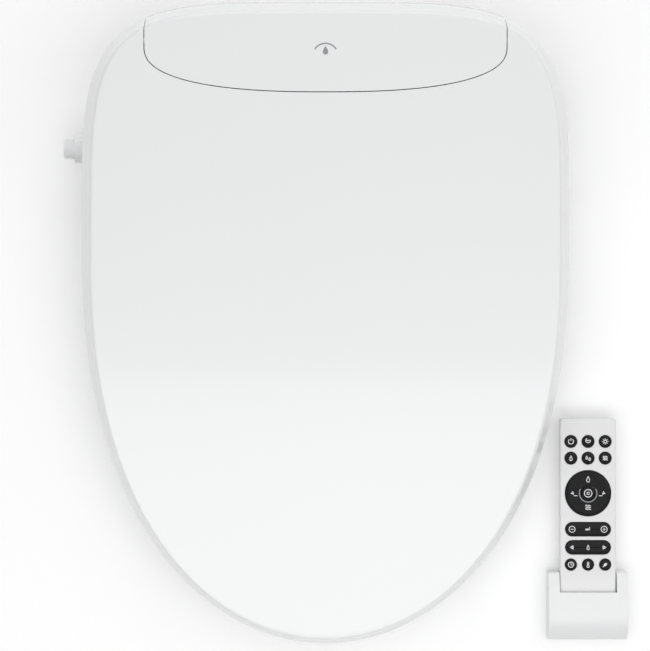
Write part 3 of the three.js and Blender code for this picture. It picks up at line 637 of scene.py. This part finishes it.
def make_icon(name, strokes, x, y, z, size=1.0, width=0.55):
    """Printed strokes, each a thin raised ribbon."""
    points, faces = [], []
    for line in strokes:
        closed = math.dist(line[0], line[-1]) < 1e-6
        line = [(x + px * size, y + py * size) for px, py in line]
        sides = []
        for i, (px, py) in enumerate(line):
            before = line[i - 1] if i else (line[-2] if closed else line[0])
            after = line[i + 1] if i + 1 < len(line) else (line[1] if closed else line[-1])
            length = math.dist(before, after) or 1
            nx, ny = -(after[1] - before[1]) / length, (after[0] - before[0]) / length
            sides.append([(px + nx * width / 2, py + ny * width / 2),
                          (px - nx * width / 2, py - ny * width / 2)])
        first = len(points)
        for left, right in sides:
            points += [(*left, z - 0.12), (*right, z - 0.12), (*right, z), (*left, z)]
        for i in range(len(sides) - 1):
            a, b = first + 4 * i, first + 4 * (i + 1)
            faces += [(a + k, a + (k + 1) % 4, b + (k + 1) % 4, b + k) for k in range(4)]
        last = first + 4 * (len(sides) - 1)
        faces += [(first + 3, first + 2, first + 1, first), (last, last + 1, last + 2, last + 3)]
    return new_piece(name, points, faces, smooth=False)


def make_icons():
    keys = {"top": ("power", "lid", "lamp"), "upper": ("drop", "two_drops", "waves"),
            "bottom": ("clock", "heat", "leaf")}
    for row, icons in keys.items():
        y = REMOTE_TOP - ROWS[row][0]
        for step, side, icon in zip((-1, 0, 1), ("left", "middle", "right"), icons):
            mark = make_icon(f"icon_{row}_{side}", ICONS[icon], REMOTE_X + step * KEY_PITCH, y,
                             KEY_TOP - 0.29, 1.05)
            place(mark, f"key_{row}_{side}", "icon_white")
    pad_y, reach = REMOTE_TOP - PAD_DROP, 11.6
    for side, icon, dx, dy in (("rear", "drop", 0, reach), ("front", "waves", 0, -reach),
                               ("left", "spray_left", -reach, 0), ("right", "spray_right", reach, 0)):
        mark = make_icon(f"icon_pad_{side}", ICONS[icon], REMOTE_X + dx, pad_y + dy,
                         KEY_TOP - 0.44, 1.25, 0.5)
        place(mark, "pad", "icon_white")
    ring = make_icon("icon_pad_ring", [arc(7.2, 150, 390, steps=60)], REMOTE_X, pad_y,
                     KEY_TOP - 0.44, 1, 0.7)
    place(ring, "pad", "mark_grey")
    stop = make_icon("icon_stop", [arc(3.1, 0, 360, steps=48)] + ICONS["square"], REMOTE_X, pad_y,
                     KEY_TOP + 0.01)
    place(stop, "stop_key", "icon_white")
    bars = {"minus_plus": (MINUS_DROP, ("minus", "nozzle", "plus")),
            "arrows": (ARROWS_DROP, ("arrow_left", "drop", "arrow_right"))}
    for name, (drop, icons) in bars.items():
        for step, icon in zip((-1, 0, 1), icons):
            mark = make_icon(f"icon_{name}_{icon}", ICONS[icon], REMOTE_X + step * 13.2,
                             REMOTE_TOP - drop, KEY_TOP - 0.24, 1.0, 0.5)
            place(mark, f"rocker_{name}", "icon_white")


# ------------------------------------------------------------------ dock
def make_dock():
    """A D-shaped holder lying on its flat back, with a pocket and a low front lip."""
    half, rear, low, bulge, lip = 32.5, -414, -470, 27, -430
    screw_x, screw_hole, screw_head = 14, 2.6, 4.6
    bow = [(low + 22 * (1 - math.cos(a)), bulge * (0.45 + 0.55 * math.sin(a)))
           for a in [i / 28 * math.pi / 2 for i in range(29)]]
    profile = [(rear, 0), (low + 1.5, 0), (low, 3)] + bow
    profile += [(rear - 12, bulge * 0.94), (rear, bulge * 0.78)]
    body = loft("dock_shell_fine", [[(x, y, z) for y, z in profile]
                                    for x in (REMOTE_X - half, REMOTE_X + half)])
    pocket_half = REMOTE_WIDTH / 2 + 0.5
    pocket = (REMOTE_X - pocket_half, low + 14.5, BACK - 0.4)
    boolean(body, box("pocket", pocket, (REMOTE_X + pocket_half, rear + 5, FACE + 0.5)))
    boolean(body, box("mouth", (REMOTE_X - pocket_half, lip, BACK - 0.4),
                      (REMOTE_X + pocket_half, rear + 5, bulge + 5)))
    for sign in (-1, 1):
        x, y = REMOTE_X + sign * screw_x, rear - 12
        boolean(body, prism("hole", circle(x, y, screw_hole, 24), -1, 10))
        boolean(body, prism("sink", circle(x, y, screw_head, 32), 4, 10))
    soften(body, 0.9, 4, 40)
    place(body, "bracket", "housing_white", ["dock_shell"])


# ------------------------------------------------------------------ CAD pieces that stay
def finish_cad_nodes():
    """Every CAD piece still shown gets its slot's material and softened edges."""
    slots = {row["node"]: row["material_slot"] for row in frame["record"]["subparts"]}
    broad = {"housing_base": 1.2, "front_shroud": 1.0, "release_button": 0.8, "cord_gland": 0.4,
             "water_inlet": 0.3, "mount_plate": 0.5, "deodorizer_filter": 0.8}
    for name, node in NODES.items():
        if node.hide_render:
            continue
        dress(node, slots[name])
        soften(node, broad.get(name, 0.35), 3, 50)


# ------------------------------------------------------------------ floor and lights
FLOOR, FLOOR_GLOW, SKY_STRENGTH = 14000, 0.13, 1.16
# brightness against the sine of the height above the horizon: pale, dim, then bright overhead
SKY = ((0.13, 0.5), (0.22, 0.04), (0.38, 0.05), (0.93, 1.0))


def make_stage():
    floor = new_piece("floor", [(-FLOOR, -FLOOR, 0), (FLOOR, -FLOOR, 0), (FLOOR, FLOOR, 0),
                                (-FLOOR, FLOOR, 0)], [(0, 1, 2, 3)], smooth=False)
    floor.location.z = -0.0006
    paper = bpy.data.materials.new("paper")
    paper.use_nodes = True
    shader = paper.node_tree.nodes["Principled BSDF"]
    shader.inputs["Base Color"].default_value = (0.9, 0.9, 0.9, 1)
    shader.inputs["Roughness"].default_value = 0.9
    shader.inputs["Emission Color"].default_value = (1, 1, 1, 1)
    shader.inputs["Emission Strength"].default_value = FLOOR_GLOW
    floor.data.materials.append(paper)

    world = bpy.data.worlds.new("studio")
    bpy.context.scene.world = world
    world.use_nodes = True
    nodes, links = world.node_tree.nodes, world.node_tree.links
    direction = nodes.new("ShaderNodeTexCoord")
    split = nodes.new("ShaderNodeSeparateXYZ")
    ramp = nodes.new("ShaderNodeValToRGB")
    ramp.color_ramp.interpolation = "EASE"
    ramp.color_ramp.elements.remove(ramp.color_ramp.elements[0])
    for height, light in SKY:
        stop = ramp.color_ramp.elements.new(height)
        stop.color = (light, light, light, 1)
    ramp.color_ramp.elements.remove(ramp.color_ramp.elements[-1])
    links.new(direction.outputs["Generated"], split.inputs["Vector"])
    links.new(split.outputs["Z"], ramp.inputs["Fac"])
    links.new(ramp.outputs["Color"], nodes["Background"].inputs["Color"])
    nodes["Background"].inputs["Strength"].default_value = SKY_STRENGTH


def area_light(name, location, target, size, power_watts):
    lamp = bpy.data.lights.new(name, "AREA")
    lamp.shape = "RECTANGLE"
    lamp.size, lamp.size_y = size
    lamp.energy = power_watts
    holder = bpy.data.objects.new(name, lamp)
    holder.location = location
    aim = Vector(target) - Vector(location)
    holder.rotation_euler = aim.to_track_quat("-Z", "Y").to_euler()
    bpy.context.scene.collection.objects.link(holder)


def make_lights():
    middle = (0, -0.2, 0.08)
    area_light("rear_key", (0.1, 1.9, 0.75), middle, (1.8, 0.6), 11)
    area_light("front_soft", (0, -0.66, 0.9), (0, -0.64, 0), (1.3, 0.45), 2.5)
    area_light("right_fill", (1.7, 0.1, 1.1), middle, (0.8, 1.4), 2.6)


make_camera()
make_lid()
make_top_cover()
make_drop_mark()
make_seat()
make_remote()
make_keys()
make_icons()
make_dock()
finish_cad_nodes()
make_stage()
make_lights()

bpy.context.scene.view_settings.view_transform = "Standard"
bpy.context.view_layer.update()
